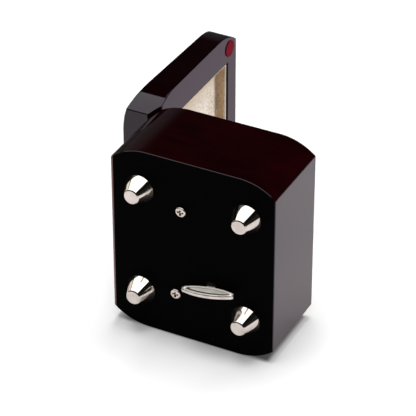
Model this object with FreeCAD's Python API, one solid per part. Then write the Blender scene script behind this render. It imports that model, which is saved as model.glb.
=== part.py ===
import FreeCAD, Part
import math
import os

# A lacquered music box with bowed ends, a hinged lid and a pinned-cylinder movement.
# The box stands on its feet at Z = 0. X runs from bowed end to bowed end, the front faces -Y
# and the hinge is at the back, at +Y. The lid is drawn open, as it rests, and the origin lies
# under the middle of the opened whole. Sizes are in mm.

Vector = FreeCAD.Vector
ORIGIN = Vector(0, 0, 0)
ALONG_X = Vector(1, 0, 0)
ALONG_Y = Vector(0, 1, 0)
ALONG_Z = Vector(0, 0, 1)

# Fits
running_fit = 0.05          # radial room of a turning shaft in its hole
seat_fit = 0.02             # radial room of a fixed pin or bush in its hole
panel_fit = 0.2             # room round a lining in its wooden recess
moving_gap = 0.4            # air between a turning piece and its fixed neighbour

# Wooden box
corner_span = 80.0          # between the sharp corners, along the front
box_depth = 80.0            # front face to back face
bow_rise = 6.65             # how far a bowed end stands past its corners
bow_run = 17.6              # length of the curved part of a bowed end, along Y
panel_thickness = 5.0
wall_height = 36.0
front_board = 8.5           # thickness of the front and back boards
well_length = 63.2          # inside of the box along X
edge_round = 0.5
corner_round = 1.0

# Feet and the screws that hold the movement
foot_height = 7.5
foot_base_radius = 7.1
foot_tip_radius = 3.3
foot_tip_round = 0.35
foot_spot = (26.9, 26.1)
foot_stud_radius = 1.5
foot_stud_length = 4.0
mount_screw_spots = [(-21.7, 5.1), (22.9, 7.9)]
mount_screw_radius = 1.3
mount_head_radius = 2.5
mount_head_height = 1.5
mount_head_round = 0.6
mount_recess_half = 1.6     # each arm of the cross recess, from the middle
mount_recess_arm = 0.5      # half the width of an arm
mount_recess_depth = 1.0

# Lid
lid_thickness = 18.0        # at the flat middle, along the hinge
lid_bow_thickness = 13.2    # at the bowed ends, where the top has rolled down
lid_front_fall = 2.6        # the top falls this much from the hinge to the front
lid_flat_half = 28.0        # the top is flat this far from the middle
lid_recess_depth = 6.8
liner_board = 1.2
liner_gap = 0.8             # open joint round the lining, front and back
liner_setback = 0.5         # the lining stops short of the lid's rim
bumper_radius = 4.15
bumper_thickness = 1.2
bumper_proud = 0.5
bumper_spot = (38.4, 32.7)
pivot_inset = 3.0           # the hinge line, in from the back face
groove_bevel = 5.0          # each side of the V groove along the back
groove_fit = 0.06

# Hinges
hinge_spread = 20.0         # each hinge's middle, from the middle of the box
hinge_length = 16.0
hinge_leaf = 0.8
hinge_leaf_reach = 5.0      # from the pivot line towards the inside
hinge_screw_edge = 1.5      # the screws, in from the leaf's inner edge
knuckle_radius = 1.2
knuckle_gap = 0.2
lid_knuckle_length = 5.6
hinge_pin_radius = 0.5
hinge_screw_radius = 0.5
hinge_screw_head = 1.0
hinge_screw_length = 4.5
hinge_screw_spread = 5.2

# Tray over the movement
tray_depth = 7.8
tray_wall = 1.2
tray_floor = 1.5
tray_below_rim = 0.6
cleat_width = 3.0
cleat_height = 3.0
cleat_length = 44.0

# Movement bedplate and winding gear
arbor_spot = (14.9, -9.5)
bed_thickness = 2.5
bed_margin = 2.0
bed_corner = 3.0
screw_boss_radius = 3.0
screw_boss_height = 2.5
barrel_lift = 0.4           # air under the barrel
barrel_radius = 10.8
barrel_wall = 1.0
barrel_floor = 0.8
barrel_height = 7.6
cover_thickness = 1.5
gear_module = 0.8
crown_teeth = 24
pinion_teeth = 12
pinion_width = 2.0
spring_strip = 0.35
spring_turns = 6
spring_height = 6.0
arbor_tail_radius = 1.75
arbor_radius = 2.25
arbor_core_radius = 3.0
arbor_pivot_radius = 1.5
arbor_square = 2.1
ratchet_teeth = 16
ratchet_radius = 4.0
ratchet_tooth = 0.7
ratchet_thickness = 1.2
key_length = 26.0
key_height = 6.9
key_thickness = 1.8
key_rim = 1.4               # width of the raised rim along the sides
key_end_rim = 2.8           # and at the ends
key_end = 1.5               # radius of the oval's ends
key_bead = 0.45             # rounding of the rim's outer edges
key_sink = 0.5
key_turned = 8.5            # degrees that the key stands off the Y direction
key_tang = 4.0
key_hub_radius = 2.6
key_hub_floor = 0.6
key_hole_radius = 3.5
key_clear = 0.3             # air under the key and over it

# Bridge over the barrel
bridge_plate = 1.5
bridge_lift = 1.4           # air over the crown teeth
bridge_width = 11.5
bridge_leg = 1.5
bridge_foot = 3.8
lug_thickness = 1.2
lug_half = 3.0
lug_above = 3.0
small_screw_radius = 0.9
small_head_radius = 1.6
small_head_height = 1.1
click_boss_radius = 1.3
click_tip = 0.5
click_angle = 50.0          # where the click meets the ratchet, degrees from X
click_reach = 4.9           # pivot to tip
click_clear = 0.15

# Cylinder and comb
cylinder_radius = 6.3
cylinder_wall = 0.8
governor_room = 13.7        # from the well's left end to the cylinder
cylinder_gear_teeth = 30
train_module = 0.5
train_width = 1.4
shaft_radius = 1.0
pin_height = 0.8
pin_width = 0.36
pin_root = 0.4
comb_notes = 18
comb_beats = 40
comb_clear = 0.15           # tooth tip to the pins' path
comb_base = 1.2
comb_tooth = 0.5
comb_slot = 0.35
comb_tooth_length = 10.0
comb_tooth_slant = 3.5      # the bass teeth are longer by this much
comb_seat = 7.0

# Governor
governor_pinion_teeth = 10
governor_lean = 30.0        # degrees from straight below the cylinder towards the front
wheel_teeth = 20
wheel_width = 1.2
arbor_wire = 0.6
plate_thickness = 1.0
plate_half = 2.6
worm_starts = 2
worm_pitch_radius = 1.8
worm_wire = 0.5
fly_radius = 4.2
fly_height = 6.0
fly_vane = 0.4
fly_hub = 1.0
fly_lift = 2.0              # from the worm's thread up to the fly
arm_clear = 0.7             # air between the brake disc and the arm over it
brake_disc_radius = 2.8
brake_disc = 0.5

# Stop plunger that the closing lid presses down
stop_travel = 3.0
stop_radius = 0.8
stop_pad_radius = 0.7
stop_pad = 0.7
stop_pad_offset = 2.1
stop_collar = 1.6
stop_collar_height = 1.0
stop_gap = 0.15

# Levels and places that follow from the sizes above
panel_top = foot_height + panel_thickness
rim = panel_top + wall_height
half_span = corner_span / 2
half_depth = box_depth / 2
bow_reach = half_span + bow_rise
bow_radius = (bow_rise**2 + bow_run**2) / (2 * bow_rise)
well_half_x = well_length / 2
well_half_y = half_depth - front_board
pivot_y = half_depth - pivot_inset
hinge_screw_y = pivot_y - hinge_leaf_reach + hinge_screw_edge
lid_top_round = 0.9 * corner_round
frame_shift = Vector(0, (half_depth - pivot_y - lid_thickness) / 2, 0)   # box middle to the origin

bed_top = panel_top + bed_thickness
barrel_bottom = bed_top + barrel_lift
barrel_top = barrel_bottom + barrel_height
crown_root = barrel_top + cover_thickness
tooth_rise = 0.8 * gear_module
tooth_drop = 1.0 * gear_module
crown_radius = gear_module * crown_teeth / 2
pinion_radius = gear_module * pinion_teeth / 2
arbor_x, arbor_y = arbor_spot
cylinder_y = arbor_y
cylinder_z = crown_root + tooth_drop + pinion_radius
pinion_x = arbor_x - crown_radius
bridge_bottom = crown_root + tooth_drop + tooth_rise + bridge_lift
bridge_top = bridge_bottom + bridge_plate
lug_x = pinion_x + pinion_width / 2 + 4 * moving_gap
ratchet_bottom = bridge_top + 0.75 * moving_gap
leg_inside = barrel_radius + 4 * moving_gap

cylinder_right = arbor_x - barrel_radius - 4 * moving_gap
cylinder_left = governor_room - well_half_x
cylinder_length = cylinder_right - cylinder_left
gear_left = cylinder_left - train_width
plate_right = gear_left - 1.5 * moving_gap
plate_left = plate_right - plate_thickness

train_distance = train_module * (cylinder_gear_teeth + governor_pinion_teeth) / 2
lean = math.radians(governor_lean)
governor_y = cylinder_y - train_distance * math.sin(lean)
governor_z = cylinder_z - train_distance * math.cos(lean)
wheel_radius = train_module * wheel_teeth / 2
worm_tip_radius = worm_pitch_radius + 0.8 * train_module
worm_x = plate_left - worm_tip_radius - 1.25 * moving_gap
worm_y = governor_y - wheel_radius - worm_pitch_radius
bracket_right = worm_x - worm_tip_radius - moving_gap
bracket_left = bracket_right - plate_thickness
worm_lead = worm_starts * math.pi * train_module
fly_bottom = governor_z + worm_lead + fly_lift
fly_top = fly_bottom + fly_height
brake_top = fly_top + brake_disc
arm_bottom = brake_top + arm_clear

tray_top = rim - tray_below_rim
tray_bottom = tray_top - tray_depth
comb_tip_y = cylinder_y + cylinder_radius + pin_height + comb_clear
comb_pitch = cylinder_length / comb_notes
comb_root_y = comb_tip_y + comb_tooth_length
comb_back_y = comb_root_y + comb_tooth_slant + comb_seat
comb_bottom = cylinder_z - comb_base / 2
stop_x = worm_x + stop_pad_offset
stop_y = worm_y


def block(x_span, y_span, z_span):
    """A box from three (low, high) pairs."""
    low = Vector(x_span[0], y_span[0], z_span[0])
    sizes = [high - start for start, high in (x_span, y_span, z_span)]
    return Part.makeBox(sizes[0], sizes[1], sizes[2], low)


def rod(radius, start, end):
    """A round bar between two points."""
    along = end - start
    return Part.makeCylinder(radius, along.Length, start, along)


def upright(radius, spot, low, high):
    """A round bar that stands on a plan spot between two levels."""
    return rod(radius, Vector(spot[0], spot[1], low), Vector(spot[0], spot[1], high))


def prism(points, along):
    """A closed outline of straight sides, carried along a vector."""
    return Part.Face(Part.makePolygon(points + points[:1])).extrude(along)


def joined(first, *others):
    """One solid from pieces that touch or overlap."""
    return first.multiFuse(list(others)).removeSplitter()


def on_cross_axis(shape, x, y, z):
    """Lays a shape drawn about Z along X: its X turns to Y, its Y to Z and its Z to X."""
    shape = shape.copy()
    turn = FreeCAD.Matrix(0, 0, 1, x, 1, 0, 0, y, 0, 1, 0, z, 0, 0, 0, 1)
    shape.Placement = FreeCAD.Placement(turn)
    return shape


def toothed_disc(teeth, module, width, first_tooth):
    """A spur gear blank about Z with straight-flanked teeth, thinned for backlash."""
    pitch_radius = module * teeth / 2
    above = 0.8 * module
    below = 1.0 * module
    tip = pitch_radius + above
    root = pitch_radius - below
    pitch_half = 0.21 * math.pi * module
    flank = math.tan(math.radians(20))
    tip_half = (pitch_half - above * flank) / tip
    root_half = (pitch_half + below * flank) / root
    points = []
    for tooth in range(teeth):
        middle = first_tooth + 2 * math.pi * tooth / teeth
        for radius, swing in ((root, -root_half), (tip, -tip_half), (tip, tip_half), (root, root_half)):
            angle = middle + swing
            points.append(Vector(radius * math.cos(angle), radius * math.sin(angle), 0))
    return prism(points, ALONG_Z * width)


def plan_outline(level):
    """The box's plan: straight front and back, ends that bow out on two arcs and a straight."""
    straight = half_depth - bow_run
    swing = math.atan2(bow_run, bow_radius - bow_rise) / 2
    bulge_x = bow_reach - bow_radius + bow_radius * math.cos(swing)
    bulge_y = straight + bow_radius * math.sin(swing)

    def at(x, y):
        return Vector(x, y, level)

    edges = []
    for side in (1, -1):
        corner_in = at(side * half_span, -side * half_depth)
        bow_in = at(side * bow_reach, -side * straight)
        bow_out = at(side * bow_reach, side * straight)
        corner_out = at(side * half_span, side * half_depth)
        edges.append(Part.Arc(corner_in, at(side * bulge_x, -side * bulge_y), bow_in).toShape())
        edges.append(Part.LineSegment(bow_in, bow_out).toShape())
        edges.append(Part.Arc(bow_out, at(side * bulge_x, side * bulge_y), corner_out).toShape())
        edges.append(Part.LineSegment(corner_out, at(-side * half_span, side * half_depth)).toShape())
    return Part.Face(Part.Wire(edges))


def round_corners(solid):
    """Breaks the four upright corners of a solid cut to the plan."""
    corners = []
    for edge in solid.Edges:
        middle = edge.CenterOfMass
        upright_edge = edge.BoundBox.XLength + edge.BoundBox.YLength < 1e-6
        at_corner = abs(abs(middle.x) - half_span) + abs(abs(middle.y) - half_depth) < 1e-6
        if upright_edge and at_corner:
            corners.append(edge)
    return solid.makeFillet(corner_round, corners)


def round_level(solid, level, radius):
    """Rounds the outline edges that lie at one level."""
    edges = [e for e in solid.Edges if e.BoundBox.ZLength < 1e-6 and abs(e.BoundBox.ZMin - level) < 1e-6]
    return solid.makeFillet(radius, edges)


def hinge_room(upward):
    """What each hinge needs cut from a rim: a leaf pocket and round room for the knuckles."""
    cuts = []
    depth = hinge_leaf + groove_fit
    for side in (-1, 1):
        middle = side * hinge_spread
        half = hinge_length / 2 + panel_fit
        pocket_y = (pivot_y - hinge_leaf_reach - groove_fit, pivot_y)
        pocket_z = (rim, rim + depth) if upward else (rim - depth, rim)
        cuts.append(block((middle - half, middle + half), pocket_y, pocket_z))
        start = Vector(middle - half, pivot_y, rim)
        cuts.append(rod(knuckle_radius + panel_fit, start, start + ALONG_X * 2 * half))
        for along in (-1, 1):
            spot = (middle + along * hinge_screw_spread, hinge_screw_y)
            reach = hinge_leaf + hinge_screw_length + panel_fit
            z_span = (rim, rim + reach) if upward else (rim - reach, rim)
            cuts.append(upright(hinge_screw_radius + seat_fit, spot, z_span[0], z_span[1]))
    return Part.makeCompound(cuts)


def groove_wedge(upward):
    """The wedge that forms one side of the V groove along the back."""
    turn = 1 if upward else -1
    spare = 2 * groove_bevel
    inset = groove_bevel + groove_fit
    points = [Vector(-2 * bow_reach, half_depth - inset, rim),
              Vector(-2 * bow_reach, half_depth + spare, rim),
              Vector(-2 * bow_reach, half_depth + spare, rim + turn * (inset + spare))]
    return prism(points, ALONG_X * 4 * bow_reach)


def box_walls():
    """Four boards mitred at the corners, cut from one rounded block."""
    body = plan_outline(panel_top).extrude(ALONG_Z * wall_height)
    body = round_level(round_corners(body), rim, edge_round)
    well = block((-well_half_x, well_half_x), (-well_half_y, well_half_y), (panel_top, rim))
    body = body.cut([well, groove_wedge(False), hinge_room(False)])
    miter = 3
    far_x = well_half_x + miter * (half_span - well_half_x)
    far_y = well_half_y + miter * front_board
    boards = {}
    for name, turn in (("front_wall", -1), ("back_wall", 1)):
        outline = [(well_half_x, well_half_y), (far_x, far_y), (-far_x, far_y), (-well_half_x, well_half_y)]
        points = [Vector(x, turn * y, panel_top) for x, y in outline]
        boards[name] = body.common(prism(points, ALONG_Z * wall_height))
    for name, turn in (("left_end_wall", -1), ("right_end_wall", 1)):
        outline = [(well_half_x, well_half_y), (far_x, far_y), (far_x, -far_y), (well_half_x, -well_half_y)]
        points = [Vector(turn * x, y, panel_top) for x, y in outline]
        boards[name] = body.common(prism(points, ALONG_Z * wall_height))
    return boards


def foot_spots():
    """Names and plan spots of the four feet."""
    x, y = foot_spot
    return {"foot_front_left": (-x, -y), "foot_front_right": (x, -y),
            "foot_back_left": (-x, y), "foot_back_right": (x, y)}


def bottom_panel():
    """The black board under the box, drilled for the feet, the movement and the key."""
    panel = plan_outline(foot_height).extrude(ALONG_Z * panel_thickness)
    panel = round_level(round_corners(panel), foot_height, edge_round)
    holes = [upright(key_hole_radius, arbor_spot, foot_height, panel_top)]
    for spot in mount_screw_spots:
        holes.append(upright(mount_screw_radius + running_fit, spot, foot_height, panel_top))
    for spot in foot_spots().values():
        depth = foot_stud_length + panel_fit
        holes.append(upright(foot_stud_radius + running_fit, spot, foot_height, foot_height + depth))
    return panel.cut(holes)


def foot(spot):
    """A turned cone foot with a stud that goes up into the panel."""
    at = Vector(spot[0], spot[1], 0)
    cone = Part.makeCone(foot_tip_radius, foot_base_radius, foot_height, at)
    tip = [e for e in cone.Edges if e.BoundBox.ZMax < 1e-6]
    cone = cone.makeFillet(foot_tip_round, tip)
    return joined(cone, upright(foot_stud_radius, spot, foot_height, foot_height + foot_stud_length))


def mount_screws():
    """Pan-head screws up through the panel into the bed's bosses."""
    screws = []
    for spot in mount_screw_spots:
        head = upright(mount_head_radius, spot, foot_height - mount_head_height, foot_height)
        under = foot_height - mount_head_height
        crown = [e for e in head.Edges if e.BoundBox.ZMax < under + 1e-6]
        head = head.makeFillet(mount_head_round, crown)
        sunk = (under, under + mount_recess_depth)
        arm = (mount_recess_half, mount_recess_arm)
        for x_half, y_half in (arm, arm[::-1]):
            spans = [(spot[0] - x_half, spot[0] + x_half), (spot[1] - y_half, spot[1] + y_half)]
            head = head.cut(block(spans[0], spans[1], sunk))
        shank = upright(mount_screw_radius, spot, foot_height, bed_top + screw_boss_height)
        screws.append(joined(head, shank))
    return Part.makeCompound(screws)


def tray():
    """The lined tray that covers the movement, open at the top."""
    x_half = well_half_x - panel_fit
    y_half = well_half_y - panel_fit
    shell = block((-x_half, x_half), (-y_half, y_half), (tray_bottom, tray_top))
    inside = [half - tray_wall for half in (x_half, y_half)]
    room = block((-inside[0], inside[0]), (-inside[1], inside[1]), (tray_bottom + tray_floor, tray_top))
    hole = upright(stop_radius + 2 * running_fit, (stop_x, stop_y), tray_bottom, tray_top)
    return shell.cut([room, hole])


def tray_cleats():
    """Two strips glued to the end boards for the tray to sit on."""
    strips = []
    for side in (-1, 1):
        ends = sorted((side * well_half_x, side * (well_half_x - cleat_width)))
        y_span = (-cleat_length / 2, cleat_length / 2)
        strips.append(block(ends, y_span, (tray_bottom - cleat_height, tray_bottom)))
    return Part.makeCompound(strips)


def opened(shape):
    """Swings a piece that is drawn on the closed lid to the open rest place."""
    shape = shape.copy()
    shape.rotate(Vector(0, pivot_y, rim), ALONG_X, -90)
    return shape


def lid_top_cut():
    """What lies over the lid's top: flat in the middle, rolled down at the ends, falling to the front."""
    fall = lid_thickness - lid_bow_thickness
    run = bow_reach - lid_flat_half
    roll = (fall**2 + run**2) / (2 * fall)
    swing = math.asin(run / roll) / 2
    top = rim + lid_thickness
    back = half_depth
    shoulder_x = lid_flat_half + roll * math.sin(swing)
    shoulder_z = top - roll * (1 - math.cos(swing))
    crown = [Vector(-bow_reach, back, top - fall), Vector(-lid_flat_half, back, top),
             Vector(lid_flat_half, back, top), Vector(bow_reach, back, top - fall)]
    spare = 2 * lid_thickness
    outside = [Vector(bow_reach, back, top + spare), Vector(-bow_reach, back, top + spare)]
    edges = [Part.Arc(crown[0], Vector(-shoulder_x, back, shoulder_z), crown[1]).toShape(),
             Part.LineSegment(crown[1], crown[2]).toShape(),
             Part.Arc(crown[2], Vector(shoulder_x, back, shoulder_z), crown[3]).toShape(),
             Part.LineSegment(crown[3], outside[0]).toShape(),
             Part.LineSegment(outside[0], outside[1]).toShape(),
             Part.LineSegment(outside[1], crown[0]).toShape()]
    slope = Vector(0, -box_depth, -lid_front_fall)
    overrun = 0.25
    tool = Part.Face(Part.Wire(edges)).extrude(slope * (1 + 2 * overrun))
    tool.translate(slope * -overrun)
    return tool


def lid_shell():
    """The lid block: the box's plan under a rolled top, with a recess, sockets and the V groove."""
    lid = round_corners(plan_outline(rim).extrude(ALONG_Z * lid_thickness))
    lid = lid.cut(lid_top_cut())
    lowest = rim + lid_bow_thickness - lid_front_fall - edge_round
    rolls = [e for e in lid.Edges if e.BoundBox.ZMin > lowest and not on_lid_top(e)]
    lid = lid.makeFillet(lid_top_round, rolls)
    lid = round_level(lid, rim, edge_round)
    recess_z = (rim, rim + lid_recess_depth)
    recess = block((-well_half_x, well_half_x), (-well_half_y, well_half_y), recess_z)
    sockets = []
    for side in (-1, 1):
        spot = (side * bumper_spot[0], -bumper_spot[1])
        deep = rim + bumper_thickness - bumper_proud
        sockets.append(upright(bumper_radius + running_fit, spot, rim, deep))
    return opened(lid.cut([recess, groove_wedge(True), hinge_room(True)] + sockets))


def on_lid_top(edge):
    """True for the two edges inside the lid's top, where the flat middle starts to roll down."""
    middle = edge.CenterOfMass
    return abs(abs(middle.x) - lid_flat_half) < 1e-6 and abs(middle.y) < 1e-3


def lid_liner():
    """The lined tray that fills the lid's recess."""
    x_half = well_half_x - panel_fit
    y_half = well_half_y - liner_gap
    top = rim + lid_recess_depth
    shell = block((-x_half, x_half), (-y_half, y_half), (rim + liner_setback, top))
    x_in = x_half - liner_board
    y_in = y_half - liner_board
    room = block((-x_in, x_in), (-y_in, y_in), (rim + liner_setback, top - liner_board))
    return opened(shell.cut(room))


def lid_bumper(side):
    """A felt dot let into a front corner of the lid's rim."""
    spot = (side * bumper_spot[0], -bumper_spot[1])
    return opened(upright(bumper_radius, spot, rim - bumper_proud, rim + bumper_thickness - bumper_proud))


def hinge_leaf_solid(side, upward):
    """One leaf of a hinge: a plate, its knuckles round the pivot line and its screw holes."""
    middle = side * hinge_spread
    half = hinge_length / 2
    inner = lid_knuckle_length / 2
    outer = inner + knuckle_gap
    top = (rim + groove_fit, rim + groove_fit + hinge_leaf)
    low = (rim - groove_fit - hinge_leaf, rim - groove_fit)
    z_span = top if upward else low
    back = pivot_y - knuckle_radius - panel_fit
    plate = block((middle - half, middle + half), (pivot_y - hinge_leaf_reach, back), z_span)
    spans = [(-inner, inner)] if upward else [(-half, -outer), (outer, half)]
    pieces = []
    for low_x, high_x in spans:
        x_span = (middle + low_x, middle + high_x)
        pieces.append(block(x_span, (back, pivot_y), z_span))
        pieces.append(rod(knuckle_radius, Vector(x_span[0], pivot_y, rim), Vector(x_span[1], pivot_y, rim)))
    leaf = joined(plate, *pieces)
    bore = hinge_pin_radius + (running_fit if upward else seat_fit)
    holes = [rod(bore, Vector(middle - half, pivot_y, rim), Vector(middle + half, pivot_y, rim))]
    for along in (-1, 1):
        holes.append(hinge_screw(middle + along * hinge_screw_spread, upward, seat_fit))
    leaf = leaf.cut(holes)
    return opened(leaf) if upward else leaf


def hinge_screw(x, upward, room):
    """A countersunk screw through a leaf, flush with its face; room widens it into its hole."""
    turn = 1 if upward else -1
    face = Vector(x, hinge_screw_y, rim + turn * groove_fit)
    sunk = hinge_screw_head - hinge_screw_radius
    along = ALONG_Z * turn
    head = Part.makeCone(hinge_screw_head + room, hinge_screw_radius + room, sunk, face, along)
    shank = Part.makeCylinder(hinge_screw_radius + room, hinge_screw_length, face, along)
    return joined(head, shank)


def hinge_screws(upward):
    """The four screws of the body leaves, or of the lid leaves."""
    screws = []
    for side in (-1, 1):
        for along in (-1, 1):
            screw = hinge_screw(side * hinge_spread + along * hinge_screw_spread, upward, 0)
            screws.append(opened(screw) if upward else screw)
    return Part.makeCompound(screws)


def hinge_pins():
    """The two hinge pins, fast in the body leaves."""
    pins = []
    for side in (-1, 1):
        start = Vector(side * hinge_spread - hinge_length / 2, pivot_y, rim)
        pins.append(rod(hinge_pin_radius, start, start + ALONG_X * hinge_length))
    return Part.makeCompound(pins)


def bridge_screw_spots():
    """Plan spots of the two screws in the bridge's feet."""
    reach = leg_inside + bridge_leg + bridge_foot / 2
    return [(arbor_x, arbor_y - reach), (arbor_x, arbor_y + reach)]


def plate_screw_spots():
    """Plan spots of the two screws in the bearing plate's foot."""
    x = plate_left + 2.5 * small_head_radius
    return [(x, governor_y - small_head_radius / 2), (x, cylinder_y + 2 * small_head_radius)]


def bracket_screw_spots():
    """Plan spots of the two screws in the governor bracket's foot."""
    x = bracket_left - small_head_radius
    return [(x, governor_y - 0.4 * small_head_radius), (x, governor_y + 2 * small_head_radius)]


def comb_screw_spots():
    """Plan spots of the three screws along the comb's seat."""
    y = comb_back_y - comb_seat / 2
    middle = (cylinder_left + cylinder_right) / 2
    step = cylinder_length / 2 - 1.5 * small_head_radius
    return [(middle - step, y), (middle, y), (middle + step, y)]


def bedplate():
    """The cast bed: a plate with the comb's riser, the screw bosses and all the holes."""
    left = bracket_screw_spots()[0][0] - small_head_radius
    right = arbor_x + barrel_radius + bed_margin
    front = bridge_screw_spots()[0][1] - bridge_foot / 2
    back = comb_back_y + bed_margin / 2
    plate = block((left, right), (front, back), (panel_top, bed_top))
    plate = plate.makeFillet(bed_corner, [e for e in plate.Edges if e.BoundBox.ZLength > bed_thickness / 2])
    riser_x = (cylinder_left, cylinder_right)
    riser = block(riser_x, (comb_back_y - comb_seat, comb_back_y), (bed_top, comb_bottom))
    arch_half = cylinder_length / 2 - 2 * small_head_radius
    middle = (riser_x[0] + riser_x[1]) / 2
    arch = block((middle - arch_half, middle + arch_half), (comb_root_y, comb_back_y + bed_margin),
                 (bed_top, comb_bottom - 2 * small_head_radius))
    boss_top = bed_top + screw_boss_height
    pieces = [riser.cut(arch)]
    for spot in mount_screw_spots:
        pieces.append(upright(screw_boss_radius, spot, bed_top, boss_top))
    bed = joined(plate, *pieces)
    holes = [upright(arbor_radius + running_fit, arbor_spot, panel_top, bed_top)]
    for spot in mount_screw_spots:
        holes.append(upright(mount_screw_radius + running_fit, spot, panel_top, boss_top))
    for spot in bridge_screw_spots() + plate_screw_spots() + bracket_screw_spots():
        holes.append(upright(small_screw_radius + seat_fit, spot, panel_top, bed_top))
    tapped_to = comb_bottom - 2 * comb_seat / 3
    for spot in comb_screw_spots():
        holes.append(upright(small_screw_radius + seat_fit, spot, tapped_to, comb_bottom))
    holes.append(upright(worm_wire + running_fit, (worm_x, worm_y), panel_top + bed_thickness / 3, bed_top))
    return bed.cut(holes)


def small_screws(spots, seat, length):
    """Cheese-head screws that hold one piece down, slotted across the head."""
    screws = []
    for spot in spots:
        head = upright(small_head_radius, spot, seat, seat + small_head_height)
        slot_half = 0.12 * small_head_radius
        slot = block((spot[0] - small_head_radius, spot[0] + small_head_radius),
                     (spot[1] - slot_half, spot[1] + slot_half),
                     (seat + small_head_height / 2, seat + small_head_height))
        screws.append(joined(head.cut(slot), upright(small_screw_radius, spot, seat - length, seat)))
    return Part.makeCompound(screws)


def spring_barrel():
    """The drum that holds the mainspring, free on the arbor."""
    drum = upright(barrel_radius, arbor_spot, barrel_bottom, barrel_top)
    room = upright(barrel_radius - barrel_wall, arbor_spot, barrel_bottom + barrel_floor, barrel_top)
    bore = upright(arbor_radius + running_fit, arbor_spot, barrel_bottom, barrel_top)
    return drum.cut([room, bore])


def barrel_cover():
    """The drum's cover, with crown teeth standing round its rim."""
    cover = upright(barrel_radius, arbor_spot, barrel_top, crown_root)
    cover = cover.cut(upright(arbor_pivot_radius + running_fit, arbor_spot, barrel_top, crown_root))
    pitch_half = 0.19 * math.pi * gear_module
    flank = math.tan(math.radians(20))
    root_half = pitch_half + tooth_drop * flank
    tip_half = pitch_half - tooth_rise * flank
    inside = crown_radius - pinion_width / 2 - moving_gap / 2
    tip = crown_root + tooth_drop + tooth_rise
    shape = [(-root_half, crown_root), (root_half, crown_root), (tip_half, tip), (-tip_half, tip)]
    points = [Vector(inside, y, z) for y, z in shape]
    tooth = prism(points, ALONG_X * (barrel_radius - moving_gap / 2 - inside))
    teeth = []
    for number in range(crown_teeth):
        turned = tooth.copy()
        turned.rotate(ORIGIN, ALONG_Z, 180 + 360 * number / crown_teeth)
        turned.translate(Vector(arbor_x, arbor_y, 0))
        teeth.append(turned)
    return joined(cover, *teeth)


def mainspring():
    """The flat spring, wound in half circles about two centres from the core to the drum."""
    inside = arbor_core_radius + spring_strip
    outside = barrel_radius - barrel_wall - spring_strip
    step = (outside - inside) / (2 * spring_turns)

    def half_turns(offset):
        edges = []
        for number in range(2 * spring_turns):
            radius = inside + number * step + offset
            side = 1 if number % 2 == 0 else -1
            centre = arbor_x if side == 1 else arbor_x + step
            ends = [Vector(centre + side * radius, arbor_y, 0), Vector(centre, arbor_y + side * radius, 0),
                    Vector(centre - side * radius, arbor_y, 0)]
            edges.append(Part.Arc(ends[0], ends[1], ends[2]).toShape())
        return edges

    inner = half_turns(-spring_strip / 2)
    outer = half_turns(spring_strip / 2)
    starts = Part.LineSegment(inner[0].Vertexes[0].Point, outer[0].Vertexes[0].Point).toShape()
    ends = Part.LineSegment(inner[-1].Vertexes[-1].Point, outer[-1].Vertexes[-1].Point).toShape()
    wire = Part.Wire(Part.__sortEdges__(inner + [ends] + outer + [starts]))
    strip = Part.Face(wire).extrude(ALONG_Z * spring_height)
    slack = (barrel_height - barrel_floor - spring_height) / 2
    strip.translate(Vector(0, 0, barrel_bottom + barrel_floor + slack))
    return strip


def winding_arbor():
    """The stepped winding shaft: tail for the key, journal, spring core, pivot and square."""
    core_low = barrel_bottom + barrel_floor + running_fit
    core_high = barrel_top - running_fit
    steps = [(arbor_tail_radius, key_hub_bottom() + key_hub_floor, panel_top + running_fit),
             (arbor_radius, panel_top + running_fit, core_low),
             (arbor_core_radius, core_low, core_high),
             (arbor_pivot_radius, core_high, ratchet_bottom)]
    bars = [upright(radius, arbor_spot, low, high) for radius, low, high in steps]
    half = arbor_square / 2
    square = block((arbor_x - half, arbor_x + half), (arbor_y - half, arbor_y + half),
                   (ratchet_bottom, ratchet_bottom + ratchet_thickness + moving_gap))
    return joined(bars[0], *bars[1:], square)


def key_top():
    """The level where the key's hub ends, inside the panel's hole."""
    return panel_top - key_clear


def key_hub_bottom():
    """The level where the key's hub starts, just inside the panel's hole."""
    return foot_height + key_clear


def oval_plate(length, height, end_radius, thickness):
    """An upright oval of four tangent arcs, centred on the arbor's line at half the key's height."""
    half = length / 2 - end_radius
    rise = height / 2
    side_radius = (half**2 + rise**2 - end_radius**2) / (2 * (rise - end_radius))
    swing = math.atan2(half, side_radius - rise)
    meet_x = side_radius * math.sin(swing)
    meet_y = side_radius * math.cos(swing) - side_radius + rise
    edges = []
    for side in (1, -1):
        start = Vector(-side * meet_x, side * meet_y, 0)
        end = Vector(side * meet_x, side * meet_y, 0)
        edges.append(Part.Arc(start, Vector(0, side * rise, 0), end).toShape())
        tip = Vector(side * length / 2, 0, 0)
        edges.append(Part.Arc(end, tip, Vector(side * meet_x, -side * meet_y, 0)).toShape())
    plate = Part.Face(Part.Wire(edges)).extrude(ALONG_Z * thickness)
    return on_cross_axis(plate, -thickness / 2, 0, key_clear + key_height / 2)


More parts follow.
